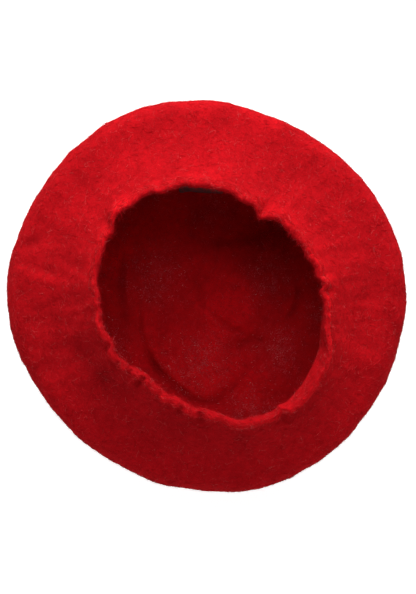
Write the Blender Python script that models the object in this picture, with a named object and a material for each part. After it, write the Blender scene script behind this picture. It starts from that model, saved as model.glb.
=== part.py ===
"""Felt mushroom costume hat, lying on the top of its cap with the head opening up.

The hat is one seamless shell of wool felt: a domed cap, a soft rounded rim, an underside that rises like
gills to the neck, and a hem that is folded in over a flat elastic. White wool spots are felted onto the cap,
and a blank label is sewn inside the hem at the back. Units are metres, +Z is up, +Y is the back of the hat,
and the origin is on the floor under the middle of the cap. Angles are in degrees, anticlockwise from +X as
seen from above.
"""

import math
from collections import namedtuple
from functools import partial

import bpy
import numpy as np

MM = 0.001

# Felt and its overall size, to the middle of the wall at the rim and to its top at the lip
FELT = 2.2 * MM
RIM_RADIUS = 159 * MM
RIM_HEIGHT = 104 * MM
LIP_HEIGHT = 165 * MM
OPENING_RADIUS = 87.9 * MM

# Top of the cap, pressed flat where the hat lies on it
REST_RADIUS = 16 * MM
REST_SLOPE = 8 * MM
REST_STEP = 1.3 * MM
FLAT_RADIUS = 40 * MM
DOME_POWER = 1.9

# Rounded rim and the underside
ROLL_WIDTH = 16 * MM
ROLL_HEIGHT = 17 * MM
ROLL_TURN = 80
NECK_SLOPE = 50
ROLL_PULL = 20 * MM
NECK_PULL = 17 * MM

# Hem, folded in over the elastic
BAND_HEIGHT = 12 * MM
HEM_FOLD = 2.0 * MM
FLAP_LENGTH = 15 * MM
LEAN = 10
OPENING_SHIFT = (3.8 * MM, -4.8 * MM)
ELASTIC_WIDTH = 8 * MM
ELASTIC_THICKNESS = 0.8 * MM
ELASTIC_RISE = 2 * MM

# Spots and label
SPOT_SEAT = 0.33 * MM
SPOT_THICKNESS = 0.95 * MM
LABEL_ANGLE = 95
LABEL_WIDTH = 33 * MM
LABEL_HEIGHT = 15 * MM
LABEL_THICKNESS = 0.8 * MM
LABEL_SEAT = 0.35 * MM
LABEL_LEAN = 4.4 * MM
LABEL_TWIST = 0.33
LABEL_TOP = 3.5 * MM

# Fineness of the meshes, and the small steps, a share of a stretch and an angle, that slopes are read over
STATIONS = 72
CAP_SAMPLES = 400
SPOT_SIDES = 12
LABEL_COLUMNS = 6
LABEL_ROWS = 3
SHARE_STEP = 0.002
TURN_STEP = 0.2

# Lobes of an outline: how many round the hat, how far each swings out, and the angle of one peak
Wave = namedtuple("Wave", "count swing peak")
RIM_WAVES = (
    Wave(2, 3.3 * MM, 146),
    Wave(4, 1.6 * MM, 13),
    Wave(6, 0.3 * MM, -7),
)
OPENING_WAVES = (
    Wave(2, 8.8 * MM, 136),
    Wave(4, 2.2 * MM, 22),
)
LIP_WAVES = (
    Wave(2, 1.6 * MM, 60),
    Wave(3, 1.2 * MM, 200),
)

# Places where the elastic draws the lip in or out, and how far each sinks the rim of the lip
Gather = namedtuple("Gather", "angle width inward sink")
GATHERS = (
    Gather(358, 6, 1.2 * MM, 0.6 * MM),
    Gather(11, 5, -0.8 * MM, 0.4 * MM),
    Gather(20, 6, 0.8 * MM, 0.5 * MM),
    Gather(49, 6, -2.2 * MM, 0.6 * MM),
    Gather(61, 6, 2.6 * MM, -1.0 * MM),
    Gather(80, 7, -2.4 * MM, 0.5 * MM),
    Gather(96, 7, 1.2 * MM, 0.4 * MM),
    Gather(113, 6, 2.6 * MM, 0.8 * MM),
    Gather(131, 7, -2.8 * MM, 0.6 * MM),
    Gather(148, 6, -0.8 * MM, 0.5 * MM),
    Gather(169, 7, -0.6 * MM, 0.8 * MM),
    Gather(188, 6, -0.6 * MM, 1.0 * MM),
    Gather(201, 6, 1.2 * MM, 0.4 * MM),
    Gather(211, 6, -2.2 * MM, 1.2 * MM),
    Gather(229, 7, 2.2 * MM, 1.2 * MM),
    Gather(246, 6, 0.8 * MM, 0.6 * MM),
    Gather(271, 5, 2.4 * MM, 1.0 * MM),
    Gather(300, 9, -2.2 * MM, 0.8 * MM),
)

# Stretch where the hem leans out and shows its inner side
FLARE_ANGLE = 326
FLARE_SPREAD = 28
FLARE = 34

# Broad dents and swells of the soft felt: where their middle is, how wide they are, and how far they go out
Dent = namedtuple("Dent", "angle radius height size outward")
DENTS = (
    Dent(205, 150 * MM, 70 * MM, 38 * MM, -3.0 * MM),
    Dent(262, 140 * MM, 48 * MM, 34 * MM, 2.0 * MM),
    Dent(310, 152 * MM, 78 * MM, 36 * MM, -2.6 * MM),
    Dent(20, 146 * MM, 60 * MM, 40 * MM, 2.2 * MM),
    Dent(72, 150 * MM, 72 * MM, 36 * MM, -3.2 * MM),
    Dent(128, 142 * MM, 52 * MM, 38 * MM, 2.4 * MM),
    Dent(352, 128 * MM, 127 * MM, 26 * MM, -2.4 * MM),
    Dent(338, 142 * MM, 121 * MM, 18 * MM, 1.8 * MM),
    Dent(45, 130 * MM, 126 * MM, 30 * MM, 1.6 * MM),
    Dent(100, 132 * MM, 125 * MM, 30 * MM, -2.0 * MM),
    Dent(161, 150 * MM, 116 * MM, 18 * MM, -2.2 * MM),
    Dent(171, 136 * MM, 124 * MM, 24 * MM, 2.2 * MM),
    Dent(232, 126 * MM, 128 * MM, 28 * MM, -2.0 * MM),
    Dent(288, 130 * MM, 126 * MM, 28 * MM, 1.4 * MM),
)

# Crease inside the cap, where its flattened top turns up into the wall
CREASE_RADIUS = 83 * MM
CREASE_ANGLE = 228
CREASE_SPREAD = 38
CREASE_WIDTH = 13 * MM
CREASE_DEPTH = 1.4 * MM

# Rings of points: how far along the felt those of the cap lie from its middle, closest together at the crease,
# and how many each further stretch of the felt has, up to the end of the hem
CAP_RINGS_MM = (16, 24, 40, 55, 68, 79, 90, 102, 117, 134, 152, 173, 195)
Stretch = namedtuple("Stretch", "name rings")
STRETCHES = (
    Stretch("rim", 3),
    Stretch("underside", 5),
    Stretch("band", 2),
    Stretch("fold", 4),
    Stretch("flap", 2),
)

# Spots on the cap: where their middle is, as an angle and a distance along the felt, and how wide they are
Spot = namedtuple("Spot", "angle distance width")
SPOTS = (
    Spot(158, 50 * MM, 50 * MM),
    Spot(266, 58 * MM, 52 * MM),
    Spot(323, 80 * MM, 40 * MM),
    Spot(16, 58 * MM, 48 * MM),
    Spot(85, 76 * MM, 41 * MM),
    Spot(48, 112 * MM, 42 * MM),
    Spot(114, 106 * MM, 37 * MM),
    Spot(141, 111 * MM, 40 * MM),
    Spot(173, 108 * MM, 37 * MM),
    Spot(205, 103 * MM, 44 * MM),
    Spot(238, 116 * MM, 41 * MM),
    Spot(290, 111 * MM, 42 * MM),
    Spot(322, 129 * MM, 36 * MM),
    Spot(352, 105 * MM, 42 * MM),
    Spot(20, 119 * MM, 37 * MM),
    Spot(5, 171 * MM, 36 * MM),
    Spot(68, 168 * MM, 38 * MM),
    Spot(97, 174 * MM, 33 * MM),
    Spot(128, 169 * MM, 36 * MM),
    Spot(158, 175 * MM, 32 * MM),
    Spot(190, 170 * MM, 37 * MM),
    Spot(221, 174 * MM, 34 * MM),
    Spot(264, 169 * MM, 38 * MM),
    Spot(306, 173 * MM, 35 * MM),
    Spot(339, 167 * MM, 38 * MM),
)

# Colour, roughness and metallic value of each material
FINISHES = {
    "red_felt": ((0.60, 0.012, 0.022, 1), 0.95, 0),
    "white_wool": ((0.80, 0.76, 0.70, 1), 0.95, 0),
    "black_elastic": ((0.02, 0.02, 0.022, 1), 0.7, 0),
    "black_satin": ((0.018, 0.02, 0.02, 1), 0.45, 0),
}


def smooth_step(share):
    share = np.clip(share, 0, 1)
    return share * share * (3 - 2 * share)


def angle_between(angle, middle):
    """Signed degrees from a middle to an angle, from -180 to 180."""
    return (np.asarray(angle) - middle + 180) % 360 - 180


def bell(distance, width):
    return np.exp(-((distance / width) ** 2))


def level_bell(distance, width):
    """Like a bell, but level over more of its width."""
    return np.exp(-(np.abs(distance / width) ** 3))


def waves_at(waves, angle):
    return sum(w.swing * np.cos(np.radians(w.count * (angle - w.peak))) for w in waves)


def gathers_at(angle, column):
    return sum(getattr(g, column) * bell(angle_between(angle, g.angle), g.width) for g in GATHERS)


def dome_line():
    """Radius, height and distance along the felt of the cap's middle line, for the mean outline."""
    turn = np.radians(np.linspace(0, 90, CAP_SAMPLES))
    power = 2 / DOME_POWER
    side_radius = FLAT_RADIUS + (RIM_RADIUS - FLAT_RADIUS) * np.sin(turn) ** power
    side_height = (RIM_HEIGHT - REST_STEP - FELT / 2) * (1 - np.cos(turn) ** power)
    top_radius = np.linspace(0, FLAT_RADIUS, CAP_SAMPLES, endpoint=False)
    radius = np.concatenate([top_radius, side_radius])
    height = np.concatenate([np.zeros(CAP_SAMPLES), side_height])
    height += FELT / 2 + REST_STEP * smooth_step((radius - REST_RADIUS) / REST_SLOPE)
    steps = np.hypot(np.diff(radius), np.diff(height))
    return radius, height, np.concatenate([[0], np.cumsum(steps)])


CAP_RADII, CAP_HEIGHTS, CAP_DISTANCES = dome_line()
CAP_LENGTH = CAP_DISTANCES[-1]


def cap_line(share, angle):
    """Radius and height of the cap's middle line, at a share of the way from its middle to the rim."""
    distance = np.asarray(share) * CAP_LENGTH
    radius = np.interp(distance, CAP_DISTANCES, CAP_RADII)
    height = np.interp(distance, CAP_DISTANCES, CAP_HEIGHTS)
    return radius + waves_at(RIM_WAVES, angle) * (radius / RIM_RADIUS) ** 3, height


def rim_line(share, angle):
    turn = np.radians(ROLL_TURN) * share
    radius = RIM_RADIUS + waves_at(RIM_WAVES, angle) - ROLL_WIDTH * (1 - np.cos(turn))
    return radius, RIM_HEIGHT + ROLL_HEIGHT * np.sin(turn) + 0 * angle


def hem_frame(angle):
    """Foot of the hem's band, its direction upwards and its direction inwards, as radius and height."""
    lean = np.radians(LEAN - FLARE * level_bell(angle_between(angle, FLARE_ANGLE), FLARE_SPREAD))
    up = (-np.sin(lean), np.cos(lean))
    inward = (-np.cos(lean), -np.sin(lean))
    innermost = OPENING_RADIUS + waves_at(OPENING_WAVES, angle) - gathers_at(angle, "inward")
    overhang = np.minimum(up[0] * BAND_HEIGHT, up[0] * (BAND_HEIGHT - FLAP_LENGTH))
    foot_radius = innermost - overhang - inward[0] * (2 * HEM_FOLD + FELT / 2)
    lip = LIP_HEIGHT + waves_at(LIP_WAVES, angle) - gathers_at(angle, "sink")
    foot_height = lip - up[1] * BAND_HEIGHT - HEM_FOLD - FELT / 2
    return (foot_radius, foot_height), up, inward


def beside_band(angle, rise, depth):
    """A point at a rise above the band's foot and a depth inwards from its middle line."""
    foot, up, inward = hem_frame(angle)
    return tuple(f + u * rise + i * depth for f, u, i in zip(foot, up, inward))


def underside_line(share, angle):
    """A curve from the rolled rim, nearly level there, to the steep neck at the foot of the band."""
    start = rim_line(1.0, angle)
    end = beside_band(angle, 0, 0)
    turn = math.radians(ROLL_TURN)
    leave = (-ROLL_WIDTH * math.sin(turn), ROLL_HEIGHT * math.cos(turn))
    leave_length = math.hypot(*leave)
    slope = math.radians(NECK_SLOPE)
    arrive = (-math.cos(slope), math.sin(slope))
    line = []
    for a, b, out, into in zip(start, end, leave, arrive):
        pull = a + out / leave_length * ROLL_PULL
        neck = b - into * NECK_PULL
        rest = 1 - share
        line.append(a * rest**3 + 3 * pull * rest**2 * share + 3 * neck * rest * share**2 + b * share**3)
    return tuple(line)


def band_line(share, angle):
    return beside_band(angle, BAND_HEIGHT * share, 0)


def fold_line(share, angle):
    turn = np.pi * share
    return beside_band(angle, BAND_HEIGHT + HEM_FOLD * np.sin(turn), HEM_FOLD * (1 - np.cos(turn)))


def flap_line(share, angle):
    return beside_band(angle, BAND_HEIGHT - FLAP_LENGTH * share, 2 * HEM_FOLD)


LINES = {
    "cap": cap_line,
    "rim": rim_line,
    "underside": underside_line,
    "band": band_line,
    "fold": fold_line,
    "flap": flap_line,
}


def to_space(radius, height, angle):
    """A place in the hat, with the opening set a little to one side of the rim's middle."""
    above_rim = smooth_step((height - RIM_HEIGHT) / (LIP_HEIGHT - BAND_HEIGHT - RIM_HEIGHT))
    turn = np.radians(angle)
    x = radius * np.cos(turn) + OPENING_SHIFT[0] * above_rim
    y = radius * np.sin(turn) + OPENING_SHIFT[1] * above_rim
    return np.stack(np.broadcast_arrays(x, y, height), axis=-1)


def outward_swell(points):
    """How far the soft felt goes out at each point, past the plain shape."""
    swell = np.zeros(points.shape[:-1])
    for d in DENTS:
        middle = to_space(d.radius, d.height, d.angle)
        swell += d.outward * bell(np.linalg.norm(points - middle, axis=-1), d.size)
    radius = np.hypot(points[..., 0], points[..., 1])
    angle = np.degrees(np.arctan2(points[..., 1], points[..., 0]))
    along = bell(angle_between(angle, CREASE_ANGLE), CREASE_SPREAD)
    below_rim = points[..., 2] < RIM_HEIGHT / 2
    swell += CREASE_DEPTH * along * bell(radius - CREASE_RADIUS, CREASE_WIDTH) * below_rim
    off_the_floor = smooth_step((radius - FLAT_RADIUS) / FLAT_RADIUS)
    below_hem = smooth_step((LIP_HEIGHT - BAND_HEIGHT - points[..., 2]) / BAND_HEIGHT)
    return swell * off_the_floor * below_hem


def outward_normal(place, share, angle):
    """Outward normal of a surface, given as a place for each share of its way and angle."""
    ahead = np.clip(share + SHARE_STEP, 0, 1)
    back = np.clip(share - SHARE_STEP, 0, 1)
    along = place(ahead, angle) - place(back, angle)
    around = place(share, angle + TURN_STEP) - place(share, angle - TURN_STEP)
    normal = np.cross(around, along)
    return normal / np.linalg.norm(normal, axis=-1, keepdims=True)


def plain_place(name, share, angle):
    return to_space(*LINES[name](share, angle), angle)


def felt_place(name, share, angle):
    """The middle of the felt wall, dents included."""
    plain = plain_place(name, share, angle)
    if name in ("band", "fold", "flap"):
        return plain
    return plain + outward_normal(partial(plain_place, name), share, angle) * outward_swell(plain)[..., None]


def cap_outside(share, angle, stand):
    """A place that stands off the cap's outer side."""
    place = partial(felt_place, "cap")
    return place(share, angle) + outward_normal(place, share, angle) * (FELT / 2 + stand)


def grid_faces(rings, columns, closed_round):
    """Quads between rings of points, which face outwards where the rings run from the cap to the hem."""
    faces = []
    for ring in range(rings - 1):
        for column in range(columns if closed_round else columns - 1):
            beside = (column + 1) % columns
            low = ring * columns
            high = low + columns
            faces.append((low + column, low + beside, high + beside, high + column))
    return faces


def material(finish):
    if finish in bpy.data.materials:
        return bpy.data.materials[finish]
    colour, roughness, metallic = FINISHES[finish]
    made = bpy.data.materials.new(finish)
    made.use_nodes = True
    shader = made.node_tree.nodes["Principled BSDF"]
    shader.inputs["Base Color"].default_value = colour
    shader.inputs["Roughness"].default_value = roughness
    shader.inputs["Metallic"].default_value = metallic
    return made


def add_cloth(name, rings, faces, finish, thickness, offset=0):
    """A cloth piece, thickened to both sides of its points, or with an offset of 1 to the side they face."""
    mesh = bpy.data.meshes.new(name)
    mesh.from_pydata(np.concatenate(rings).tolist(), [], faces)
    mesh.shade_smooth()
    mesh.materials.append(material(finish))
    piece = bpy.data.objects.new(name, mesh)
    bpy.context.collection.objects.link(piece)
    wall = piece.modifiers.new("wall", "SOLIDIFY")
    wall.thickness = thickness
    wall.offset = offset
    wall.use_even_offset = True
    wall.use_quality_normals = True
    return piece


def felt_rings():
    """Name of the stretch and share along it of each ring of points, from the flat top to the hem's end."""
    rings = [("cap", distance * MM / CAP_LENGTH) for distance in CAP_RINGS_MM]
    rings.append(("cap", 1))
    for s in STRETCHES:
        rings += [(s.name, ring / s.rings) for ring in range(1, s.rings + 1)]
    return rings


def station_angles():
    return np.arange(STATIONS) * 360 / STATIONS


def make_felt_body():
    """Cap, rim, underside and hem in one wall of felt, which starts at the flat top of the cap."""
    rings = [felt_place(name, share, station_angles()) for name, share in felt_rings()]
    flat_top = tuple(reversed(range(STATIONS)))
    faces = [flat_top, *grid_faces(len(rings), STATIONS, True)]
    add_cloth("felt_body", rings, faces, "red_felt", FELT)


def make_elastic():
    """Flat elastic ring in the hem's tunnel, halfway between the band and the flap."""
    angles = station_angles()
    edges = (ELASTIC_RISE, ELASTIC_RISE + ELASTIC_WIDTH)
    rings = [to_space(*beside_band(angles, rise, HEM_FOLD), angles) for rise in edges]
    add_cloth("hem_elastic", rings, grid_faces(2, STATIONS, True), "black_elastic", ELASTIC_THICKNESS)


def make_label():
    """Blank satin label, sewn along its upper edge to the hem's flap, its free lower edge leaning in."""
    across = np.linspace(-0.5, 0.5, LABEL_COLUMNS + 1)
    angle = LABEL_ANGLE + np.degrees(across * LABEL_WIDTH / OPENING_RADIUS)
    bottom = BAND_HEIGHT - LABEL_TOP - LABEL_HEIGHT
    flap_face = 2 * HEM_FOLD + FELT / 2
    rows = []
    for share in np.linspace(1, 0, LABEL_ROWS + 1):
        lean = LABEL_LEAN * (1 - share) ** 2 * (1 + 2 * LABEL_TWIST * across)
        depth = flap_face + LABEL_SEAT + lean
        rows.append(to_space(*beside_band(angle, bottom + share * LABEL_HEIGHT, depth), angle))
    faces = grid_faces(LABEL_ROWS + 1, LABEL_COLUMNS + 1, False)
    add_cloth("label", rows, faces, "black_satin", LABEL_THICKNESS, offset=1)


def make_spot(number, spot):
    """A thin patch of white wool that follows the cap: a middle point and two rings round it."""
    turn = np.radians(np.arange(SPOT_SIDES) * 360 / SPOT_SIDES)
    middle_radius = np.interp(spot.distance, CAP_DISTANCES, CAP_RADII)
    rings = []
    for reach in (0, spot.width / 4, spot.width / 2):
        around = turn[:1] if reach == 0 else turn
        ahead = spot.distance + reach * np.cos(around)
        aside = reach * np.sin(around) * spot.distance / middle_radius
        angle = spot.angle + np.degrees(np.arctan2(aside, ahead))
        rings.append(cap_outside(np.hypot(ahead, aside) / CAP_LENGTH, angle, SPOT_SEAT))
    faces = []
    for side in range(SPOT_SIDES):
        near = 1 + side
        near_beside = 1 + (side + 1) % SPOT_SIDES
        faces.append((0, near_beside, near))
        faces.append((near, near_beside, near_beside + SPOT_SIDES, near + SPOT_SIDES))
    add_cloth(f"spot_{number:02d}", rings, faces, "white_wool", SPOT_THICKNESS, offset=1)


def main():
    for old in list(bpy.data.objects):
        bpy.data.objects.remove(old)
    make_felt_body()
    make_elastic()
    make_label()
    for number, spot in enumerate(SPOTS, 1):
        make_spot(number, spot)


main()
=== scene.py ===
"""Looks of a felt mushroom costume hat, which lies on the top of its cap with the head opening up.

Metres, +Z up, +Y the back of the hat. Angles are in degrees, anticlockwise from +X as seen from above.
"""

import math
from collections import namedtuple

import bpy
import numpy as np
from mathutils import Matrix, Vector, noise


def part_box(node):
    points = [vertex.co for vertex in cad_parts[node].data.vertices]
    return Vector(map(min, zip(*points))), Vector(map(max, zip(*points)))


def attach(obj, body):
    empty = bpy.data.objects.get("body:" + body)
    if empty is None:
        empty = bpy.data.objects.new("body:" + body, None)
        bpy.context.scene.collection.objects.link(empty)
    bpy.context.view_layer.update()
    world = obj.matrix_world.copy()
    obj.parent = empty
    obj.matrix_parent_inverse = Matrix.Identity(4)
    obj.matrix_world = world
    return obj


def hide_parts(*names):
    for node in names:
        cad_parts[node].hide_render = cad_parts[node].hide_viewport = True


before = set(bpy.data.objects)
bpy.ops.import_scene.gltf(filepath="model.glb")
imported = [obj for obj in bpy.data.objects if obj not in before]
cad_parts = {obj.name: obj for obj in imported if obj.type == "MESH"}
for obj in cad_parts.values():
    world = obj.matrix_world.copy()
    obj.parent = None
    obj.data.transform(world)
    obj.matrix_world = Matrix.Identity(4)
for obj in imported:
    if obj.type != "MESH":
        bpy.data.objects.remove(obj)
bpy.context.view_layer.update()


# Dyed wool: every felted piece of the hat is made of matted fibres, lighter and darker in soft patches.
# The group gives those patches as a value round 1, the matted surface as a height, and a few stray strands.
def build_matted_wool_group():
    group = bpy.data.node_groups.new("matted_wool", "ShaderNodeTree")
    face = group.interface
    face.new_socket("Patches", in_out="INPUT", socket_type="NodeSocketFloat")
    face.new_socket("Grain", in_out="INPUT", socket_type="NodeSocketFloat")
    face.new_socket("Value", in_out="OUTPUT", socket_type="NodeSocketFloat")
    face.new_socket("Height", in_out="OUTPUT", socket_type="NodeSocketFloat")
    face.new_socket("Strands", in_out="OUTPUT", socket_type="NodeSocketFloat")
    nodes = group.nodes
    links = group.links
    given = nodes.new("NodeGroupInput")
    out = nodes.new("NodeGroupOutput")
    place = nodes.new("ShaderNodeTexCoord")

    def noise_node(scale, detail, distortion=0.0):
        made = nodes.new("ShaderNodeTexNoise")
        made.inputs["Scale"].default_value = scale
        made.inputs["Detail"].default_value = detail
        made.inputs["Distortion"].default_value = distortion
        links.new(place.outputs["Object"], made.inputs["Vector"])
        return made.outputs["Fac"]

    def math_node(operation, first, second):
        made = nodes.new("ShaderNodeMath")
        made.operation = operation
        for socket, value in zip(made.inputs, (first, second)):
            if isinstance(value, (int, float)):
                socket.default_value = value
            else:
                links.new(value, socket)
        return made.outputs["Value"]

    broad = noise_node(40, 3)
    tufts = noise_node(190, 3, 0.6)
    strands = noise_node(480, 3, 2.6)
    grain = noise_node(1100, 2, 1.0)
    patches = math_node("ADD", math_node("SUBTRACT", broad, 0.5), math_node("SUBTRACT", tufts, 0.5))
    streaks = math_node("MULTIPLY", math_node("SUBTRACT", strands, 0.5), 1.4)
    fine = math_node("ADD", streaks, math_node("SUBTRACT", grain, 0.5))
    swing = math_node("ADD", math_node("MULTIPLY", patches, given.outputs["Patches"]),
                      math_node("MULTIPLY", fine, given.outputs["Grain"]))
    links.new(math_node("ADD", swing, 1.0), out.inputs["Value"])
    few = math_node("MULTIPLY", math_node("SUBTRACT", strands, 0.52), 5.0)
    links.new(math_node("MAXIMUM", few, 0.0), out.inputs["Strands"])
    matted = math_node("ADD", math_node("MULTIPLY", tufts, 0.45), math_node("MULTIPLY", strands, 0.4))
    links.new(math_node("ADD", matted, math_node("MULTIPLY", grain, 0.15)), out.inputs["Height"])
    return group


matted_wool = build_matted_wool_group()


def new_wool(name, colour, patches, grain, bump, pale=None):
    """A matt wool material. Pale is the colour of fibres that show where the pale_wool attribute is high,
    and where it is given, a tone attribute makes the wool lighter or darker, with random tone and painted
    light and shade."""
    made = bpy.data.materials.new(name)
    made.use_nodes = True
    nodes = made.node_tree.nodes
    links = made.node_tree.links
    shader = nodes["Principled BSDF"]
    wool = nodes.new("ShaderNodeGroup")
    wool.node_tree = matted_wool
    wool.inputs["Patches"].default_value = patches
    wool.inputs["Grain"].default_value = grain
    tint = nodes.new("ShaderNodeMix")
    tint.data_type = "RGBA"
    tint.blend_type = "MULTIPLY"
    tint.inputs["Factor"].default_value = 1
    tint.inputs["A"].default_value = (*colour, 1)
    links.new(wool.outputs["Value"], tint.inputs["B"])
    shown = tint.outputs["Result"]
    if pale:
        # The tone attribute holds painted light and shade as well as the felt's random tone
        tone = nodes.new("ShaderNodeAttribute")
        tone.attribute_name = "felt_tone_and_painted_light"
        toned = nodes.new("ShaderNodeMix")
        toned.data_type = "RGBA"
        toned.blend_type = "MULTIPLY"
        toned.inputs["Factor"].default_value = 1
        links.new(shown, toned.inputs["A"])
        links.new(tone.outputs["Fac"], toned.inputs["B"])
        shown = toned.outputs["Result"]
        amount = nodes.new("ShaderNodeAttribute")
        amount.attribute_name = "pale_wool"
        mixed = nodes.new("ShaderNodeMix")
        mixed.data_type = "RGBA"
        mixed.inputs["B"].default_value = (*pale, 1)
        strands = nodes.new("ShaderNodeMath")
        strands.operation = "MULTIPLY"
        strands.use_clamp = True
        links.new(amount.outputs["Fac"], strands.inputs[0])
        links.new(wool.outputs["Strands"], strands.inputs[1])
        links.new(strands.outputs["Value"], mixed.inputs["Factor"])
        links.new(shown, mixed.inputs["A"])
        shown = mixed.outputs["Result"]
    links.new(shown, shader.inputs["Base Color"])
    shader.inputs["Roughness"].default_value = 0.95
    shader.inputs["Specular IOR Level"].default_value = 0.06
    shader.inputs["Sheen Weight"].default_value = 0.08
    shader.inputs["Sheen Roughness"].default_value = 0.6
    shader.inputs["Sheen Tint"].default_value = (*(min(1, 1.3 * c + 0.02) for c in colour), 1)
    relief = nodes.new("ShaderNodeBump")
    relief.inputs["Strength"].default_value = bump
    relief.inputs["Distance"].default_value = 0.0012
    links.new(wool.outputs["Height"], relief.inputs["Height"])
    links.new(relief.outputs["Normal"], shader.inputs["Normal"])
    return made


# The hat: one wall of wet-felted wool that makes the cap, the rim, the underside and the folded hem.
# It is taken from the frame's solid, smoothed, and then worked as felt is, with puckers where the elastic
# draws the hem in, folds that run out over the underside, creases inside the cap and soft lumps all over.
MM = 0.001
RIM_HEIGHT = 104 * MM
HEM_FOOT = 150 * MM
SAME_PLACE = 0.002 * MM
FELT_OFF_FLOOR = 0.05 * MM


def take_up(piece):
    bpy.ops.object.select_all(action="DESELECT")
    piece.select_set(True)
    bpy.context.view_layer.objects.active = piece


def copy_of_node(node, name):
    """The node's solid as a new piece, its triangles merged and paired into quads."""
    piece = bpy.data.objects.new(name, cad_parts[node].data.copy())
    bpy.context.collection.objects.link(piece)
    piece.data.materials.clear()
    take_up(piece)
    bpy.ops.object.mode_set(mode="EDIT")
    bpy.ops.mesh.select_all(action="SELECT")
    bpy.ops.mesh.remove_doubles(threshold=SAME_PLACE)
    bpy.ops.mesh.tris_convert_to_quads(face_threshold=math.radians(50), shape_threshold=math.radians(70))
    bpy.ops.object.mode_set(mode="OBJECT")
    return piece


def smooth_out(piece, levels):
    """Subdivides a piece that is first swelled a little, because subdivision draws it in."""
    bpy.ops.object.mode_set(mode="EDIT")
    bpy.ops.mesh.select_all(action="SELECT")
    bpy.ops.mesh.vertices_smooth(factor=-0.6)
    bpy.ops.object.mode_set(mode="OBJECT")
    finer = piece.modifiers.new("finer", "SUBSURF")
    finer.levels = levels
    finer.render_levels = levels
    bpy.ops.object.modifier_apply(modifier=finer.name)


def places_of(mesh):
    places = np.zeros(len(mesh.vertices) * 3)
    mesh.vertices.foreach_get("co", places)
    return places.reshape(-1, 3)


def normals_of(mesh):
    normals = np.zeros(len(mesh.vertices) * 3, np.float32)
    mesh.vertex_normals.foreach_get("vector", normals)
    return normals.reshape(-1, 3).astype(float)


def put_places(mesh, places):
    """Gives a mesh its new places, none of them below the floor, and smooth shading."""
    places[:, 2] = np.maximum(places[:, 2], FELT_OFF_FLOOR)
    mesh.vertices.foreach_set("co", places.astype(np.float32).ravel())
    mesh.update()
    mesh.shade_smooth()


def smooth_step(low, high, value):
    share = np.clip((value - low) / (high - low), 0, 1)
    return share * share * (3 - 2 * share)


def turn_between(angle, middle):
    return (angle - middle + 180) % 360 - 180


def inner_side(places, facing):
    """1 on the inner side of the felt, towards the middle of the hat, and 0 on its outer side."""
    return (((places - (0, 0, RIM_HEIGHT)) * facing).sum(axis=1) < 0).astype(float)


def refine(piece, wanted):
    """Cuts in half the edges that are wanted, given the middle, run and facing of each."""
    mesh = piece.data
    ends = np.zeros(len(mesh.edges) * 2, np.int32)
    mesh.edges.foreach_get("vertices", ends)
    ends = ends.reshape(-1, 2)
    places = places_of(mesh)
    facing = normals_of(mesh)[ends].sum(axis=1)
    middle = places[ends].mean(axis=1)
    chosen = wanted(middle, places[ends[:, 1]] - places[ends[:, 0]], facing)
    take_up(piece)
    bpy.ops.object.mode_set(mode="EDIT")
    bpy.ops.mesh.select_mode(type="EDGE")
    bpy.ops.mesh.select_all(action="DESELECT")
    bpy.ops.object.mode_set(mode="OBJECT")
    mesh.edges.foreach_set("select", chosen)
    bpy.ops.object.mode_set(mode="EDIT")
    bpy.ops.mesh.subdivide(number_cuts=1, ngon=False)
    bpy.ops.mesh.select_mode(type="VERT")
    bpy.ops.object.mode_set(mode="OBJECT")


def bell(distance, width):
    return np.exp(-((distance / width) ** 2))


def towards(angle, middle, width):
    """1 in one direction from the middle of the hat, and falling to 0 on both sides of it, in degrees."""
    return bell(turn_between(angle, middle), width)


def lumps(places, size, seed):
    """Smooth noise from about -1 to 1, with lumps of about this size, which may differ along each axis."""
    offset = Vector((seed * 3.7, seed * 1.9, seed * 5.3))
    return np.array([noise.noise(Vector(p) + offset) for p in places / size]) * 1.6


def angle_and_radius(places):
    return np.degrees(np.arctan2(places[:, 1], places[:, 0])), np.hypot(places[:, 0], places[:, 1])


hat = copy_of_node("felt_body", "felt_hat")

# The flat middle of the cap is made one face on each side of the wall, so that it stays smooth
FLAT_MIDDLE = 16.5 * MM
bpy.ops.object.mode_set(mode="EDIT")
bpy.ops.mesh.select_all(action="DESELECT")
bpy.ops.object.mode_set(mode="OBJECT")
for face in hat.data.polygons:
    face.select = math.hypot(face.center.x, face.center.y) < FLAT_MIDDLE
bpy.ops.object.mode_set(mode="EDIT")
bpy.ops.mesh.dissolve_faces()
bpy.ops.object.mode_set(mode="OBJECT")
smooth_out(hat, 2)

# Creases and soft ridges inside the cap. Each is an arc seen from above: its middle, radius, width and
# rise in millimetres, and the angles where it starts and ends. A rise below nought is a groove. The middle
# disc is a low step all round.
Crease = namedtuple("Crease", "x y radius start end width rise")
CREASES = (
    Crease(21, -16, 79, 174, 226, 2.0, -2.8), Crease(21, -16, 79, 204, 246, 3.0, -4.2),
    Crease(-3, -62, 28, 224, 318, 2.6, -3.8), Crease(21, -16, 72.5, 185, 240, 4.5, 1.5),
    Crease(55, 31, 68, 192, 258, 2.8, -1.8), Crease(55, 31, 74, 200, 250, 4.0, 0.8),
    Crease(54, -96, 36, 118, 166, 3.6, -2.6), Crease(50, 2, 29, 308, 376, 2.8, -3.6),
    Crease(28, 10, 102, 162, 200, 3.4, -4.2), Crease(40, -52, 14, 50, 160, 3.2, -3.2),
    Crease(45, -110, 42, 70, 120, 4.0, 1.2), Crease(10, 120, 75, 256, 306, 4.5, -2.4),
)
MIDDLE_DISC = Crease(21, -4, 25, 0, 360, 4.0, 1.6)


def across_crease(crease, places):
    """How far each place is beside a crease's line, in millimetres, and how far along it, in degrees."""
    x = places[:, 0] / MM - crease.x
    y = places[:, 1] / MM - crease.y
    half_span = (crease.end - crease.start) / 2
    along = np.abs(turn_between(np.degrees(np.arctan2(y, x)), crease.start + half_span)) - half_span
    return np.hypot(x, y) - crease.radius, along


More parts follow.
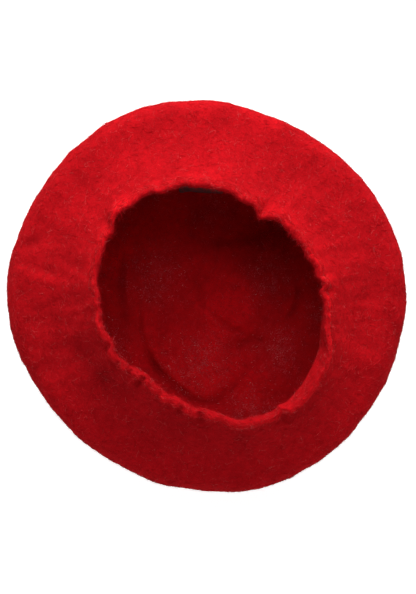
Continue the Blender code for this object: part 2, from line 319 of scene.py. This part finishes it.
# Narrower faces round the hem and the neck, where the folds are fine, and then along the creases in the cap
NECK_FOOT = 126 * MM
CREASED_BELOW = 50 * MM


def round_the_neck(middle, run, facing):
    radius = np.hypot(middle[:, 0], middle[:, 1])
    round_about = np.abs(run[:, 0] * middle[:, 1] - run[:, 1] * middle[:, 0]) / radius
    sideways = round_about > 0.8 * np.linalg.norm(run, axis=1)
    seen = (inner_side(middle, facing) == 0) | (middle[:, 2] > HEM_FOOT)
    return sideways & seen & (middle[:, 2] > NECK_FOOT)


def near_crease(middle, run, facing):
    near = np.zeros(len(middle), bool)
    for crease in CREASES:
        beside, along = across_crease(crease, middle)
        near |= (np.abs(beside) < 6.5) & (along < 4)
    return near & (inner_side(middle, facing) == 1) & (middle[:, 2] < CREASED_BELOW)


refine(hat, round_the_neck)
refine(hat, near_crease)

# The line of the lip: the highest place of the wall at each whole degree round the hat, smoothed over a few
# degrees
SMOOTHED_OVER = 7
at = places_of(hat.data)
angle, radius = angle_and_radius(at)
lip_radius = np.zeros(360)
lip_height = np.zeros(360)
for degree in range(360):
    here = np.nonzero(np.abs(turn_between(angle, degree)) < 1.5)[0]
    top = here[np.argmax(at[here, 2])]
    lip_radius[degree] = radius[top]
    lip_height[degree] = at[top, 2]
evenly = np.ones(SMOOTHED_OVER) / SMOOTHED_OVER
lip_radius = np.convolve(np.tile(lip_radius, 3), evenly, "same")[360:720]
lip_height = np.convolve(np.tile(lip_height, 3), evenly, "same")[360:720]


def from_lip(places):
    """How far each place is below the lip's line and outside it, in metres."""
    angle, radius = angle_and_radius(places)
    below = np.interp(angle, range(360), lip_height, period=360) - places[:, 2]
    return below, radius - np.interp(angle, range(360), lip_radius, period=360)


# Puckers that the elastic draws in the lip: angle, width in degrees, and how far in millimetres the lip is
# drawn in. Those below nought push it out.
Pucker = namedtuple("Pucker", "angle width inward")
PUCKERS = (
    Pucker(1.5, 2.2, 3.2), Pucker(10, 2.6, 3.0), Pucker(21, 4, 1.6), Pucker(33, 4, -0.2),
    Pucker(46, 2.6, -1.4), Pucker(55.4, 2.4, 2.2), Pucker(62.5, 3.2, -3.0), Pucker(71, 2.4, 1.0),
    Pucker(80, 3.2, 0.4), Pucker(91, 4.2, -0.9), Pucker(101, 2.4, -0.4), Pucker(107, 2.6, 1.0),
    Pucker(113, 2.4, 1.3), Pucker(118, 2.0, -1.3), Pucker(129, 3.4, 2.9), Pucker(139, 3.4, -3.0),
    Pucker(146, 2.2, 1.8), Pucker(152, 4, 0.2), Pucker(165, 3, 0.5), Pucker(180.5, 4, 2.2),
    Pucker(189, 2.6, 2.0), Pucker(200, 4, -1.0), Pucker(206, 2.4, 0.8), Pucker(211, 3, -1.4),
    Pucker(227, 2.4, 1.2), Pucker(233, 2.4, 0.8), Pucker(249, 3, -1.6), Pucker(255, 2.2, 0.6),
    Pucker(264, 2.2, -0.6), Pucker(269, 2.4, 1.0), Pucker(284.5, 4, -2.0), Pucker(303.5, 2.0, 4.0),
    Pucker(324, 6, 1.0), Pucker(344, 6, 3.8),
)

# Tucks: short grooves just outside the lip, where the neck's felt is gathered: angle, width in degrees,
# depth and reach in millimetres
Tuck = namedtuple("Tuck", "angle width depth reach")
TUCKS = (
    Tuck(3, 1.8, 1.6, 9), Tuck(57, 1.8, 2.6, 14), Tuck(72, 2.0, 0.8, 14), Tuck(118, 2.2, 0.8, 12),
    Tuck(143, 2.4, 1.8, 12), Tuck(151, 2.0, 0.8, 10), Tuck(171, 1.8, 0.9, 12), Tuck(187, 1.6, 1.3, 12),
    Tuck(197, 1.8, 0.9, 10), Tuck(208, 1.9, 3.0, 8), Tuck(217.5, 2.2, 1.8, 12), Tuck(224, 1.8, 1.4, 9),
    Tuck(232.4, 1.9, 3.6, 10), Tuck(238, 1.6, 1.2, 9), Tuck(244, 1.5, 1.0, 10), Tuck(251, 1.5, 1.6, 11),
    Tuck(257, 1.7, 3.0, 11), Tuck(263, 1.5, 1.2, 11), Tuck(267, 1.7, 2.8, 11), Tuck(276, 1.8, 0.9, 10),
    Tuck(301, 2.4, 1.8, 12),
)

# Wrinkles of the underside: from x, y to x, y, with a width and a rise, in millimetres
Wrinkle = namedtuple("Wrinkle", "from_x from_y to_x to_y width rise")
WRINKLES = (
    Wrinkle(-148, 41, -138, 44, 5, -2.1), Wrinkle(-152, 28, -126, 19, 4, -0.8),
    Wrinkle(-152, 18, -125, 11, 5, 0.9), Wrinkle(-114, 0, -93, -3, 3.5, -0.45),
    Wrinkle(-149, -21, -118, -19, 4, -0.35), Wrinkle(-108, -25, -105, -33, 4, -0.5),
    Wrinkle(-99, -42, -82, -64, 9, -1.2), Wrinkle(-82, -64, -62, -76, 7, -1.2),
    Wrinkle(-139, -63, -130, -55, 5, -0.5), Wrinkle(-130, -5, -110, -8, 5, -0.4),
    Wrinkle(-151, -4, -131, -6, 5, 0.35), Wrinkle(124, 40, 146, 49, 4, -0.5),
    Wrinkle(116, 71, 117, 59, 3, -0.4), Wrinkle(125, 64, 138, 71, 4, -0.4),
    Wrinkle(130, 21, 140, 16, 4, -0.5), Wrinkle(114, -30, 148, -51, 4.5, -0.4),
    Wrinkle(143, -13, 153, -26, 4, -0.4), Wrinkle(137, -63, 142, -55, 4, -0.4),
    Wrinkle(75, 71, 101, 63, 4, -0.35), Wrinkle(82, 59, 98, 52, 4, -0.4),
    Wrinkle(90, -78, 96, -71, 4, -0.6), Wrinkle(100, -59, 108, -52, 4, -0.4),
    Wrinkle(90, 109, 112, 100, 5, -0.35), Wrinkle(56, 97, 80, 94, 12, -1.0),
    Wrinkle(-104, 52, -112, 30, 9, -0.5),
)


def wrinkled(places):
    """How high the wrinkles lift the underside at each place, in metres."""
    lift = np.zeros(len(places))
    for w in WRINKLES:
        start = np.array((w.from_x, w.from_y)) * MM
        run = np.array((w.to_x, w.to_y)) * MM - start
        share = np.clip((places[:, :2] - start) @ run / (run @ run), 0, 1)
        away = np.linalg.norm(places[:, :2] - start - share[:, None] * run, axis=1)
        lift += w.rise * MM * bell(away, w.width * MM)
    return lift


def tucked(angle, beside):
    """How deep the tucks' grooves are at each angle and distance outside the lip's line, in metres."""
    depth = np.zeros(len(angle))
    for tuck in TUCKS:
        reach = tuck.reach * MM
        along = smooth_step(-1.5 * MM, 1.5 * MM, beside) * (1 - smooth_step(0.4 * reach, reach, beside))
        depth += tuck.depth * MM * towards(angle, tuck.angle, tuck.width) * along
    return depth


def folded(angle, radius):
    """Folds that run out over the underside from the gathered hem, from about -1 to 1 mm, in metres."""
    turn = np.radians(angle)
    round_about = np.stack([np.cos(turn), np.sin(turn), radius / 0.45], axis=1)
    return (0.32 * lumps(round_about, 1 / 18, 3) + 0.5 * lumps(round_about, 1 / 8, 4)) * MM


def wander_at(places):
    """How far the creases stray from their lines at each place, in millimetres."""
    return 1.4 * lumps(places, 0.03, 13)


def along_crease(crease, places, wander, broader=1.0):
    """1 on the line of a crease, and falling to 0 beside it and round its ends."""
    beside, along = across_crease(crease, places)
    return bell(beside + wander, broader * crease.width) * (1 - smooth_step(-14, 6, along))


# Where the hat is worked: how far below the lip the hem is pressed, the puckers reach and the tucks reach,
# and at what heights the underside starts and the middle of the cap ends. Each fades between two values.
PRESSED = (4 * MM, 11 * MM)
PUCKERED = (6 * MM, 26 * MM)
TUCKED = (26 * MM, 40 * MM)
UNDERSIDE = (99 * MM, 112 * MM)
CAP_MIDDLE = (35 * MM, 55 * MM)

# Half the thickness of the folded hem, and how far the lip is let out all round
HALF_HEM = 3.1 * MM
LET_OUT = 0.5 * MM


def worked(places):
    """Where each place of the hat goes as the felt is gathered, creased and left a little uneven."""
    at = places.copy()
    angle, radius = angle_and_radius(at)
    outward = np.stack([np.cos(np.radians(angle)), np.sin(np.radians(angle)), 0 * angle], axis=1)
    below, beside = from_lip(at)
    at_lip = 1 - smooth_step(*PUCKERED, below)
    on_neck = 1 - smooth_step(*TUCKED, below)

    # At the back the lip is pressed thinner than the hem below it, from its outer side. At the front and
    # right it is fuller.
    pressed = (1 - smooth_step(*PRESSED, below)) * bell(beside, 10 * MM)
    full = towards(angle, 258, 38) + 0.35 * towards(angle, 5, 24)
    move_out = (0.5 * full - 0.22) * np.maximum(beside + HALF_HEM, 0) * pressed

    # The elastic draws the lip in and down at each pucker, and lets it out a little between them. The tucks
    # beside it sink and draw the neck in.
    drawn_in = sum(p.inward * MM * towards(angle, p.angle, p.width) for p in PUCKERS) - LET_OUT
    ring = np.stack([np.cos(np.radians(angle)), np.sin(np.radians(angle)), at[:, 2] / 0.1], axis=1)
    drawn_in += 0.35 * MM * lumps(ring, 1 / 17, 6)
    move_out -= drawn_in * at_lip
    groove = tucked(angle, beside) * on_neck
    move_out -= 0.5 * groove
    sink = 0.35 * drawn_in * at_lip + 0.8 * groove
    sink += 0.45 * MM * lumps(ring, 1 / 26, 10) * pressed

    # At the front and left the hem leans in, so that its top faces the middle more
    sink -= 0.3 * beside * pressed * towards(angle, 230, 45)
    at += outward * move_out[:, None]
    at[:, 2] -= sink

    # Folds and wrinkles of the underside, from just outside the lip
    on_underside = smooth_step(*UNDERSIDE, at[:, 2]) * smooth_step(0, 8 * MM, beside)
    at[:, 2] += (folded(angle, radius) + wrinkled(at)) * on_underside

    # Creases inside the cap, its middle disc and small lumps, none of them on the face that meets the floor
    in_cap = 1 - smooth_step(*CAP_MIDDLE, at[:, 2])
    wander = wander_at(at)
    lift = sum(crease.rise * MM * along_crease(crease, at, wander) for crease in CREASES)
    from_disc, _ = across_crease(MIDDLE_DISC, at)
    on_disc = 1 - smooth_step(-MIDDLE_DISC.width, MIDDLE_DISC.width, from_disc + wander)
    lift += MIDDLE_DISC.rise * MM * on_disc
    lift += (1.1 * lumps(at, 0.02, 17) + 0.5 * lumps(at, 0.009, 18)) * MM
    at[:, 2] += lift * in_cap * smooth_step(0.4 * MM, 1.2 * MM, at[:, 2])

    # Soft lumps all over, broad and small, less of them where the hat lies on its cap. The back left of the
    # hat is drawn in a little, and the rim stands out at the front right.
    spread = at - (0, 0, RIM_HEIGHT)
    spread /= np.linalg.norm(spread, axis=1)[:, None]
    off_floor = smooth_step(20 * MM, 60 * MM, radius) * (1 - 0.6 * at_lip)
    bulge = 0.8 * lumps(at, 0.045, 5) + 0.6 * lumps(at, 0.016, 7) + 0.22 * lumps(at, 0.007, 8)
    bulge -= 0.4 + 1.2 * towards(angle, 128, 30)
    bulge += 2.0 * towards(angle, 312, 11) * bell(at[:, 2] - RIM_HEIGHT, 30 * MM)
    return at + spread * (bulge * MM * off_floor)[:, None]


before = places_of(hat.data)
at = worked(before)
at += normals_of(hat.data) * (0.12 * MM * lumps(before, 0.0045, 9))[:, None]
put_places(hat.data, at)

# White wool of the spots that has worked through to the inside of the cap
SPOTS = sorted(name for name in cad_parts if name.startswith("spot_"))


def white_showing(places, facing, reach):
    """How much of the spots' wool shows at each place of the felt's inner side, from 0 to 1."""
    amount = np.zeros(len(places))
    for spot in SPOTS:
        low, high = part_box(spot)
        size = (high - low).length / 2
        away = np.linalg.norm(places - np.array((low + high) / 2), axis=1)
        amount = np.maximum(amount, bell(away, reach * size))
    return amount * inner_side(places, facing)


# The felt's colour is uneven, and partly painted light and shade: painted shade in the grooves of each
# crease, fold and tuck, painted light on their ridges and on the raised middle disc, and lighter broad
# patches inside the cap, some of them painted light and some paler wool: x, y and size in millimetres, and
# how much lighter. The one below nought, at the back right, is painted shade where the lip shades the cap.
ToneAndLightPatch = namedtuple("ToneAndLightPatch", "x y size lighter")
PATCHES_OF_TONE_AND_LIGHT = (
    ToneAndLightPatch(20, 0, 30, 0.20), ToneAndLightPatch(-4, -58, 30, 0.55), ToneAndLightPatch(-50, 58, 34, 0.30),
    ToneAndLightPatch(60, 58, 30, -0.47), ToneAndLightPatch(-74, -48, 20, 0.30), ToneAndLightPatch(-84, 0, 12, 0.30),
    ToneAndLightPatch(38, -82, 16, 0.32), ToneAndLightPatch(-84, 26, 20, 0.35), ToneAndLightPatch(90, -20, 26, 0.15),
)

# A painted highlight lightens the outer half of the hem's top, least of all at the back: angle
# and width in degrees, and how much lighter or darker than the hem's common lightness
HEM_HIGHLIGHT_ALL_ROUND = 0.32
HemHighlight = namedtuple("HemHighlight", "angle width lighter")
HEM_HIGHLIGHTS = (
    HemHighlight(72, 45, -0.26), HemHighlight(357, 25, 0.40), HemHighlight(165, 25, 0.14), HemHighlight(138, 16, 0.16),
    HemHighlight(303, 18, 0.12),
)


def tone_and_painted_light_at(places, facing):
    """Lightness of the felt at each place, 1 where it is plain: random tone, with painted light and shade.
    """
    tone = 1 + 0.05 * lumps(places, 0.022, 51) + 0.05 * lumps(places, 0.010, 52)
    # Lighter patches, partly painted light, and painted shade at the back right
    for tone_patch in PATCHES_OF_TONE_AND_LIGHT:
        away = np.hypot(places[:, 0] / MM - tone_patch.x, places[:, 1] / MM - tone_patch.y)
        tone += tone_patch.lighter * bell(away, tone_patch.size)
    wander = wander_at(places)
    # Painted shade in the grooves of the creases, and painted light on their ridges
    for crease in CREASES:
        tone *= 1 + 0.075 * crease.rise * along_crease(crease, places, wander, broader=0.9)
    # Painted light on the raised middle disc
    from_disc, _ = across_crease(MIDDLE_DISC, places)
    tone *= 1 + 0.10 * (1 - smooth_step(-5, 3, from_disc + wander))
    angle, radius = angle_and_radius(places)
    below, beside = from_lip(places)
    outer = 1 - inner_side(places, facing)
    # Painted light and shade on the underside: lighter where its folds and wrinkles rise, darker in their
    # grooves and in the tucks
    folds = 0.10 * folded(angle, radius) + 0.16 * wrinkled(places) - 0.12 * tucked(angle, beside)
    on_underside = outer * smooth_step(98 * MM, 108 * MM, places[:, 2])
    in_view = inner_side(places, facing) * (places[:, 2] < 60 * MM)
    tone = 1 + (tone - 1) * in_view + folds / MM * on_underside

    # A painted highlight on the hem's top, which at the back left covers its inner half too
    near_lip = 1 - smooth_step(8 * MM, 22 * MM, below)
    hem_highlight = HEM_HIGHLIGHT_ALL_ROUND + sum(r.lighter * towards(angle, r.angle, r.width) for r in HEM_HIGHLIGHTS)
    tone += hem_highlight * bell(beside - 4.5 * MM, 5.5 * MM) * near_lip * outer
    tone += 0.22 * bell(beside, 4 * MM) * near_lip * towards(angle, 136, 22)

    # At the front, painted shade on the hem's inner edge, and a painted shadow of the neck on the underside
    # at its foot
    tone -= 0.18 * bell(beside + 2 * MM, 2 * MM) * near_lip * towards(angle, 245, 60)
    tone -= 0.15 * bell(beside - 24 * MM, 16 * MM) * towards(angle, 255, 38) * on_underside
    return tone


# Painted light and shade, with the felt's random tone, go to the hat as an attribute
felt_tone_and_painted_light = hat.data.attributes.new("felt_tone_and_painted_light", "FLOAT", "POINT")
felt_tone_and_painted_light.data.foreach_set("value", tone_and_painted_light_at(before, normals_of(hat.data)).astype(np.float32))
pale_wool = hat.data.attributes.new("pale_wool", "FLOAT", "POINT")
pale_wool.data.foreach_set("value", white_showing(at, normals_of(hat.data), 0.7).astype(np.float32))

RED = (0.62, 0.0055, 0.0110)
red_felt = new_wool("red_felt", RED, patches=0.5, grain=0.38, bump=0.5, pale=(0.56, 0.06, 0.075))
hat.data.materials.append(red_felt)
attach(hat, "root")
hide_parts("felt_body")


# Loose fibres of the felt: real wool hairs that lie over its surface and stand off its edges.
# Each piece is one mesh of thin curved ribbons, strewn more thickly where more fuzz shows.
FIBRES_OFF_FLOOR = 0.1 * MM
ROOT_DEPTH = 0.1 * MM

# How many of the fibres are loose at one end, and how much a ribbon narrows towards its tip
LOOSE_SHARE = 0.3
TAPER = 0.65


def strew_fibres(name, felt, wanted, count, length, width, lift, seed, combed=0.0):
    """Ribbons over part of a felt piece. wanted gives how thick they lie at each place and normal, and
    combed how far they tend to run round the hat rather than every way."""

    # Where each fibre starts: a place on one of the felt's triangles
    mesh = felt.data
    mesh.calc_loop_triangles()
    corners = np.zeros(len(mesh.loop_triangles) * 3, np.int32)
    mesh.loop_triangles.foreach_get("vertices", corners)
    triangles = places_of(mesh)[corners.reshape(-1, 3)]
    side_a = triangles[:, 1] - triangles[:, 0]
    side_b = triangles[:, 2] - triangles[:, 0]
    facing = np.cross(side_a, side_b)
    areas = np.linalg.norm(facing, axis=1)
    facing /= areas[:, None] + 1e-20
    share = areas * wanted(triangles.mean(axis=1), facing)
    dice = np.random.default_rng(seed)
    chosen = dice.choice(len(triangles), count, p=share / share.sum())
    spread = dice.random((count, 2))
    spread[spread.sum(axis=1) > 1] = 1 - spread[spread.sum(axis=1) > 1]
    root = triangles[chosen, 0] + side_a[chosen] * spread[:, :1] + side_b[chosen] * spread[:, 1:]

    # Which way it runs, how long it is, and how it rises and bends
    up = facing[chosen]
    outwards = root * (1, 1, 0) / (np.hypot(root[:, 0], root[:, 1]) + 1 * MM)[:, None]
    heading = np.cross(up, dice.normal(size=(count, 3)) + combed * outwards)
    heading /= np.linalg.norm(heading, axis=1)[:, None]
    across = np.cross(up, heading)
    long = dice.uniform(*length, count)
    rise = lift * dice.gamma(2.0, 0.5, count)
    curl = dice.normal(0, 0.35, count)
    wave = dice.normal(0, 0.12, count)
    loose = dice.random(count) < LOOSE_SHARE
    roll = dice.uniform(-1.2, 1.2, count)
    broad = width * dice.uniform(0.6, 1.3, count) / 2
    flat = across * np.cos(roll)[:, None] + up * np.sin(roll)[:, None]

    # A ribbon of three quads, between pairs of points along its path
    sections = []
    for step in (0, 1 / 3, 2 / 3, 1):
        height = rise * np.where(loose, 1.3 * step, math.sin(math.pi * step)) - ROOT_DEPTH
        bend = curl * step**2 + wave * math.sin(3 * math.pi * step / 2)
        path = root + heading * (long * step)[:, None] + across * (bend * long)[:, None]
        path = path + up * height[:, None]
        half = flat * (broad * (1 - TAPER * step))[:, None]
        sections += [path - half, path + half]
    points = np.stack(sections, axis=1).reshape(-1, 3)
    points[:, 2] = np.maximum(points[:, 2], FIBRES_OFF_FLOOR)
    first = np.arange(count) * 8
    quads = [np.stack([first + i, first + i + 1, first + i + 3, first + i + 2], axis=1) for i in (0, 2, 4)]
    made = bpy.data.meshes.new(name)
    made.from_pydata(points.tolist(), [], np.concatenate(quads).tolist())
    tone = made.attributes.new("fibre_tone", "FLOAT", "POINT")
    tone.data.foreach_set("value", np.repeat(dice.random(count), 8).astype(np.float32))
    made.shade_smooth()
    piece = bpy.data.objects.new(name, made)
    bpy.context.collection.objects.link(piece)
    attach(piece, "root")
    return piece


def new_fibre(name, tones):
    """A wool fibre's material: each fibre has its own tone, from a ramp of (share, colour) steps."""
    made = bpy.data.materials.new(name)
    made.use_nodes = True
    nodes = made.node_tree.nodes
    links = made.node_tree.links
    shader = nodes["Principled BSDF"]
    tone = nodes.new("ShaderNodeAttribute")
    tone.attribute_name = "fibre_tone"
    ramp = nodes.new("ShaderNodeValToRGB")
    while len(ramp.color_ramp.elements) < len(tones):
        ramp.color_ramp.elements.new(0.5)
    for element, (share, colour) in zip(ramp.color_ramp.elements, tones):
        element.position = share
        element.color = (*colour, 1)
    links.new(tone.outputs["Fac"], ramp.inputs["Fac"])
    links.new(ramp.outputs["Color"], shader.inputs["Base Color"])
    shader.inputs["Roughness"].default_value = 0.85
    shader.inputs["Specular IOR Level"].default_value = 0.08
    return made


red_fibre = new_fibre("red_fibre", (
    (0.0, (0.44, 0.003, 0.006)), (0.5, (0.62, 0.0055, 0.011)), (0.88, (0.76, 0.015, 0.025)),
    (1.0, (0.85, 0.17, 0.17)),
))
faint_fibre = new_fibre("faint_white_fibre", (
    (0.0, (0.72, 0.028, 0.042)), (0.7, (0.88, 0.095, 0.12)), (0.95, (0.95, 0.28, 0.29)),
    (1.0, (0.96, 0.58, 0.56)),
))
red_tuft = new_fibre("red_tuft", (
    (0.0, (0.56, 0.004, 0.008)), (0.5, (0.63, 0.006, 0.012)), (1.0, (0.72, 0.015, 0.025)),
))
white_fibre = new_fibre("white_fibre", ((0.0, (0.66, 0.61, 0.55)), (1.0, (0.86, 0.84, 0.79))))


# The underside starts just above the rim. On the floor the cap has no fibres, and inside it they lie only
# where the opening lets them be seen.
RIM_TOP = 116 * MM
RIM_FOOT = 84 * MM
RESTING_RADIUS = 60 * MM
SEEN_RADIUS = 130 * MM
SEEN_HEIGHT = 70 * MM


def outer_side(places, facing):
    return 1 - inner_side(places, facing)


def over_underside(places, facing):
    return (places[:, 2] > RIM_TOP) * outer_side(places, facing)


def over_cap(places, facing):
    beyond_rest = np.hypot(places[:, 0], places[:, 1]) > RESTING_RADIUS
    return (places[:, 2] <= RIM_TOP) * outer_side(places, facing) * beyond_rest


def in_cap(places, facing):
    in_view = (np.hypot(places[:, 0], places[:, 1]) < SEEN_RADIUS) & (places[:, 2] < SEEN_HEIGHT)
    return inner_side(places, facing) * in_view


def on_hem(places, facing):
    return places[:, 2] > HEM_FOOT


for name, wanted, count, lift, seed in (
    ("fuzz_of_underside", over_underside, 32000, 0.5, 21),
    ("fuzz_of_cap", over_cap, 30000, 0.6, 22),
    ("fuzz_inside_cap", in_cap, 22000, 0.5, 23),
    ("fuzz_of_hem", on_hem, 18000, 0.9, 24),
):
    fuzz = strew_fibres(
        name, hat, wanted, count, length=(2.5 * MM, 7 * MM), width=0.13 * MM, lift=lift * MM, seed=seed,
    )
    fuzz.data.materials.append(red_fibre)


def over_underside_and_rim(places, facing):
    return (places[:, 2] > RIM_FOOT) * outer_side(places, facing)


def over_lower_cap(places, facing):
    return (places[:, 2] <= RIM_FOOT) * over_cap(places, facing)


# Matted tufts: broader strands that lie close on the felt and roughen its outline
for name, wanted, count, seed in (
    ("tufts_of_underside", over_underside_and_rim, 20000, 27),
    ("tufts_of_cap", over_lower_cap, 14000, 28),
    ("tufts_inside_cap", in_cap, 9000, 29),
    ("tufts_of_hem", on_hem, 4000, 30),
):
    tufts = strew_fibres(
        name, hat, wanted, count, length=(2 * MM, 6 * MM), width=0.5 * MM, lift=0.18 * MM, seed=seed,
    )
    tufts.data.materials.append(red_tuft)


# White wool of the spots that has worked through, in clumps inside the cap, and a few stray hairs outside
def through_felt(places, facing):
    clumps = np.clip(0.6 + 1.2 * lumps(places, 0.006, 54), 0.05, 2)
    return white_showing(places, facing, 0.62) * in_cap(places, facing) * clumps


faint = strew_fibres(
    "white_fuzz_inside_cap", hat, through_felt, 18000, length=(0.7 * MM, 2.4 * MM), width=0.32 * MM,
    lift=0.3 * MM, seed=25, combed=1.2,
)
faint.data.materials.append(faint_fibre)
stray = strew_fibres(
    "stray_white_hairs", hat, over_underside, 220, length=(0.6 * MM, 1.8 * MM), width=0.16 * MM,
    lift=0.4 * MM, seed=26,
)
stray.data.materials.append(faint_fibre)


# The spots: thin pads of white wool, laid on the cap before it was felted, so that their edges are
# uneven and sink into the red. Each starts from its solid in the frame and is worked with the felt.
SPOT_SINK = 0.25 * MM
EDGE_SINK = 0.8 * MM
EDGE_FROM = 0.62
white_wool = new_wool("white_wool", (0.80, 0.77, 0.71), patches=0.45, grain=0.6, bump=0.9)

for number, name in enumerate(SPOTS):
    spot = copy_of_node(name, name.replace("spot", "wool_spot"))
    smooth_out(spot, 2)
    at = places_of(spot.data)
    middle = at.mean(axis=0)
    spread = np.linalg.norm(at - middle, axis=1)
    edge = smooth_step(EDGE_FROM, 1.0, spread / spread.max())
    outside = (middle - (0, 0, RIM_HEIGHT)) / np.linalg.norm(middle - (0, 0, RIM_HEIGHT))
    ragged = 1.2 * lumps(at, 0.016, 31 + number) + 0.6 * lumps(at, 0.006, 61 + number)
    swell = 0.3 * lumps(at, 0.006, 91 + number) * (1 - edge)
    at = worked(at)
    at += (at - middle) / spread[:, None] * (ragged * MM * edge)[:, None]
    at += outside * (swell * MM - SPOT_SINK - EDGE_SINK * edge)[:, None]
    put_places(spot.data, at)
    spot.data.materials.append(white_wool)
    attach(spot, "root")
    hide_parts(name)
    fuzz = strew_fibres(
        spot.name + "_fuzz", spot, outer_side, 900, length=(2 * MM, 7 * MM), width=0.22 * MM,
        lift=0.45 * MM, seed=100 + number,
    )
    fuzz.data.materials.append(white_fibre)


# The elastic in the hem: flat, black, woven with ribs along its length. It is worked with the hem, which
# hides it except where the fold gapes.
def new_weave(name, colour, roughness, relief, direction, scale, distortion=0.0):
    """A woven ribbon's material and its shader. The weave is a wave that runs in the given direction, with
    its relief in metres."""
    made = bpy.data.materials.new(name)
    made.use_nodes = True
    nodes = made.node_tree.nodes
    links = made.node_tree.links
    shader = nodes["Principled BSDF"]
    shader.inputs["Base Color"].default_value = (*colour, 1)
    shader.inputs["Roughness"].default_value = roughness
    place = nodes.new("ShaderNodeTexCoord")
    weave = nodes.new("ShaderNodeTexWave")
    weave.bands_direction = direction
    weave.inputs["Scale"].default_value = scale
    weave.inputs["Distortion"].default_value = distortion
    threads = nodes.new("ShaderNodeBump")
    threads.inputs["Distance"].default_value = relief
    links.new(place.outputs["Object"], weave.inputs["Vector"])
    links.new(weave.outputs["Fac"], threads.inputs["Height"])
    links.new(threads.outputs["Normal"], shader.inputs["Normal"])
    return made, shader


elastic = copy_of_node("hem_elastic", "flat_elastic")
smooth_out(elastic, 2)
put_places(elastic.data, worked(places_of(elastic.data)))
ribbed, _ = new_weave(
    "ribbed_elastic", (0.02, 0.02, 0.022), roughness=0.7, relief=0.3 * MM, direction="Z", scale=420,
)
elastic.data.materials.append(ribbed)
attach(elastic, "root")
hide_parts("hem_elastic")


# The label inside the hem at the back: blank black satin, sewn on by its upper edge. Its lower edge hangs
# free and curls away from the felt.
FREE_BELOW = 144 * MM
SEWN_ABOVE = 156 * MM
CURL = 0.7 * MM
label = copy_of_node("label", "satin_label")
smooth_out(label, 2)
at = worked(places_of(label.data))
at[:, 1] -= CURL * lumps(at, 0.009, 41) * (1 - smooth_step(FREE_BELOW, SEWN_ABOVE, at[:, 2]))
put_places(label.data, at)
satin, satin_shader = new_weave(
    "black_satin", (0.004, 0.005, 0.005), roughness=0.5, relief=0.1 * MM, direction="DIAGONAL", scale=900,
    distortion=0.6,
)
satin_shader.inputs["Sheen Weight"].default_value = 0.05
label.data.materials.append(satin)
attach(label, "root")
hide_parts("label")


# The studio: a pale floor that looks as white as a light table, soft lights, and a camera overhead. Most
# light comes low from the back of the hat, with weaker ones high above and beside it, and white cards in
# front and at both sides.
def white_to_camera(tree, strength_socket, to_scene, to_camera):
    """Sets a glow's strength as the camera sees it, and the lesser strength that lights the scene."""
    seen = tree.nodes.new("ShaderNodeLightPath")
    strength = tree.nodes.new("ShaderNodeMapRange")
    strength.inputs["To Min"].default_value = to_scene
    strength.inputs["To Max"].default_value = to_camera
    tree.links.new(seen.outputs["Is Camera Ray"], strength.inputs["Value"])
    tree.links.new(strength.outputs["Result"], strength_socket)


bpy.ops.object.select_all(action="DESELECT")
FLOOR_SIZE = 8
bpy.ops.mesh.primitive_plane_add(size=FLOOR_SIZE, location=(0, 0, 0))
floor = bpy.context.object
floor.name = "studio_floor"
pale_floor = bpy.data.materials.new("pale_floor")
pale_floor.use_nodes = True
floor_shader = pale_floor.node_tree.nodes["Principled BSDF"]
floor_shader.inputs["Base Color"].default_value = (0.6, 0.6, 0.6, 1)
floor_shader.inputs["Roughness"].default_value = 0.8
floor_shader.inputs["Emission Color"].default_value = (1, 1, 1, 1)
white_to_camera(
    pale_floor.node_tree, floor_shader.inputs["Emission Strength"], to_scene=0.32, to_camera=0.9,
)
floor.data.materials.append(pale_floor)

# The surround looks white, and lights the hat only a little
world = bpy.data.worlds.new("white_surround")
world.use_nodes = True
surround = world.node_tree.nodes["Background"]
surround.inputs["Color"].default_value = (1, 1, 1, 1)
white_to_camera(world.node_tree, surround.inputs["Strength"], to_scene=0.15, to_camera=1.0)
bpy.context.scene.world = world

# Each light's name, the angles it comes from, its size in metres and its power in watts
SoftLight = namedtuple("SoftLight", "name azimuth elevation size power")
SOFT_LIGHTS = (
    SoftLight("window_light", 89, 25, 1.0, 52),
    SoftLight("overhead_light", 90, 70, 1.0, 13.2),
    SoftLight("side_light", 60, 40, 1.0, 5),
    SoftLight("front_card", 270, 4, 1.2, 10),
    SoftLight("left_card", 195, 4, 1.2, 8),
    SoftLight("right_card", 340, 4, 1.2, 8),
)
LIGHT_DISTANCE = 2.6
for soft in SOFT_LIGHTS:
    turn = math.radians(soft.azimuth)
    rise = math.radians(soft.elevation)
    direction = Vector((math.cos(turn) * math.cos(rise), math.sin(turn) * math.cos(rise), math.sin(rise)))
    bpy.ops.object.light_add(type="AREA", location=direction * LIGHT_DISTANCE)
    light = bpy.context.object
    light.name = soft.name
    light.data.size = soft.size
    light.data.energy = soft.power
    light.rotation_euler = (-direction).to_track_quat("-Z", "Y").to_euler()

# The camera looks straight down, and its sensor's width and lens are in millimetres
CAMERA_PLACE = (0.0011, -0.0012, 1.6)
SENSOR_WIDTH = 36
LENS = 111.5
bpy.ops.object.camera_add(location=CAMERA_PLACE, rotation=(0, 0, 0))
camera = bpy.context.object
camera.data.sensor_fit = "AUTO"
camera.data.sensor_width = SENSOR_WIDTH
camera.data.lens = LENS
bpy.context.scene.camera = camera
bpy.context.scene.view_settings.view_transform = "Standard"
